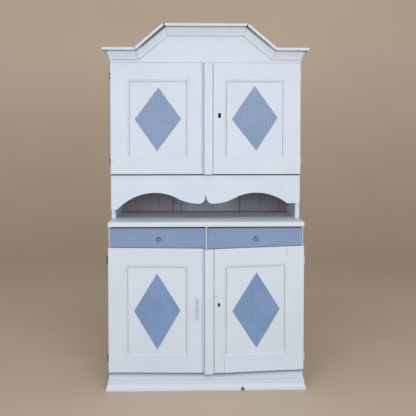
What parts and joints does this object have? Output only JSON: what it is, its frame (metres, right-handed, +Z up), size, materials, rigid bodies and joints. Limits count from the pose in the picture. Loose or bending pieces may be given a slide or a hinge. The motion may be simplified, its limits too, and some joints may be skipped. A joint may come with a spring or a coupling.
{
  "type": "painted two-part cupboard",
  "caption": "Two-part painted country cupboard: drawers over panelled doors, an open niche under a scalloped board, and a set-back upper case with panelled doors and a stepped cornice.",
  "frame": {"origin": "on the floor under the middle of the cupboard", "axes": "+X to the right seen from the front, +Y to the back, +Z up; the doors face -Y"},
  "size_m": [1.076, 0.4664, 1.8836],
  "materials": {
    "pale_paint": "aged satin paint",
    "combed_blue_paint": "combed satin paint",
    "bare_wood": "aged bare pine",
    "worn_counter": "worn painted top",
    "dark_iron": "dark rusty iron",
    "painted_iron": "over-painted wire"
  },
  "bodies": {
    "case": {"lower_side_left": "pale_paint", "lower_side_right": "pale_paint", "base_rail": "pale_paint", "base_board": "pale_paint", "base_moulding": "pale_paint", "upper_side_left": "pale_paint", "upper_side_right": "pale_paint", "valance": "pale_paint", "pediment_board": "pale_paint", "cornice_cove": "pale_paint", "cornice_fillet": "pale_paint", "lower_bottom": "bare_wood", "lower_back_boards": "bare_wood", "drawer_rail": "bare_wood", "drawer_partition": "bare_wood", "drawer_runners": "bare_wood", "lower_shelf": "bare_wood", "upper_top": "bare_wood", "upper_bottom": "bare_wood", "upper_back_boards": "bare_wood", "upper_shelves": "bare_wood", "shelf_cleats": "bare_wood", "counter_top": "worn_counter", "hinge_case_leaves": "dark_iron", "hinge_pins": "dark_iron"},
    "upper_left_door": {"upper_left_door_stiles": "pale_paint", "upper_left_door_rails": "pale_paint", "upper_left_door_panel": "pale_paint", "upper_left_door_hinge_leaves": "dark_iron"},
    "upper_right_door": {"upper_right_door_stiles": "pale_paint", "upper_right_door_rails": "pale_paint", "upper_right_door_panel": "pale_paint", "upper_right_door_hinge_leaves": "dark_iron", "upper_meeting_strip": "pale_paint", "upper_lock_case": "dark_iron"},
    "lower_left_door": {"lower_left_door_stiles": "pale_paint", "lower_left_door_rails": "pale_paint", "lower_left_door_panel": "pale_paint", "lower_left_door_hinge_leaves": "dark_iron", "hook_pin": "painted_iron"},
    "lower_right_door": {"lower_right_door_stiles": "pale_paint", "lower_right_door_rails": "pale_paint", "lower_right_door_panel": "pale_paint", "lower_right_door_hinge_leaves": "dark_iron", "lower_meeting_strip": "pale_paint", "lower_lock_case": "dark_iron", "hook_catch_eye": "painted_iron"},
    "upper_lock_bolt": {"upper_lock_bolt": "dark_iron"},
    "lower_lock_bolt": {"lower_lock_bolt": "dark_iron"},
    "hook": {"hook": "painted_iron"},
    "left_drawer": {"left_drawer_front": "combed_blue_paint", "left_drawer_box": "bare_wood", "left_drawer_bottom": "bare_wood", "left_pull_eye": "dark_iron"},
    "left_pull_ring": {"left_pull_ring": "dark_iron"},
    "right_drawer": {"right_drawer_front": "combed_blue_paint", "right_drawer_box": "bare_wood", "right_drawer_bottom": "bare_wood", "right_pull_eye": "dark_iron"},
    "right_pull_ring": {"right_pull_ring": "dark_iron"}
  },
  "joints": [
    {"name": "upper_left_door_swing", "type": "hinge", "parent": "case", "child": "upper_left_door", "pos_m": [-0.503, -0.071, 1.1005], "axis": [0, 0, -1], "range_deg": [0, 180]},
    {"name": "upper_right_door_swing", "type": "hinge", "parent": "case", "child": "upper_right_door", "pos_m": [0.503, -0.071, 1.1005], "axis": [0, 0, 1], "range_deg": [0, 180]},
    {"name": "upper_lock_throw", "type": "slide", "parent": "upper_right_door", "child": "upper_lock_bolt", "axis": [-1, 0, 0], "range_m": [0, 0.012]},
    {"name": "lower_left_door_swing", "type": "hinge", "parent": "case", "child": "lower_left_door", "pos_m": [-0.503, -0.197, 0.096], "axis": [0, 0, -1], "range_deg": [0, 180]},
    {"name": "lower_right_door_swing", "type": "hinge", "parent": "case", "child": "lower_right_door", "pos_m": [0.503, -0.197, 0.096], "axis": [0, 0, 1], "range_deg": [0, 180]},
    {"name": "lower_lock_throw", "type": "slide", "parent": "lower_right_door", "child": "lower_lock_bolt", "axis": [-1, 0, 0], "range_m": [0, 0.012]},
    {"name": "left_drawer_slide", "type": "slide", "parent": "case", "child": "left_drawer", "axis": [0, -1, 0], "range_m": [0, 0.3]},
    {"name": "left_pull_swing", "type": "hinge", "parent": "left_drawer", "child": "left_pull_ring", "pos_m": [-0.2425, -0.2235, 0.7845], "axis": [-1, 0, 0], "range_deg": [0, 100]},
    {"name": "right_drawer_slide", "type": "slide", "parent": "case", "child": "right_drawer", "axis": [0, -1, 0], "range_m": [0, 0.3]},
    {"name": "right_pull_swing", "type": "hinge", "parent": "right_drawer", "child": "right_pull_ring", "pos_m": [0.2505, -0.2235, 0.7845], "axis": [-1, 0, 0], "range_deg": [0, 100]},
    {"name": "hook_swing", "type": "hinge", "parent": "lower_left_door", "child": "hook", "pos_m": [-0.048, -0.2333, 0.46747], "axis": [0, -1, 0], "range_deg": [-120, 75]}
  ]
}
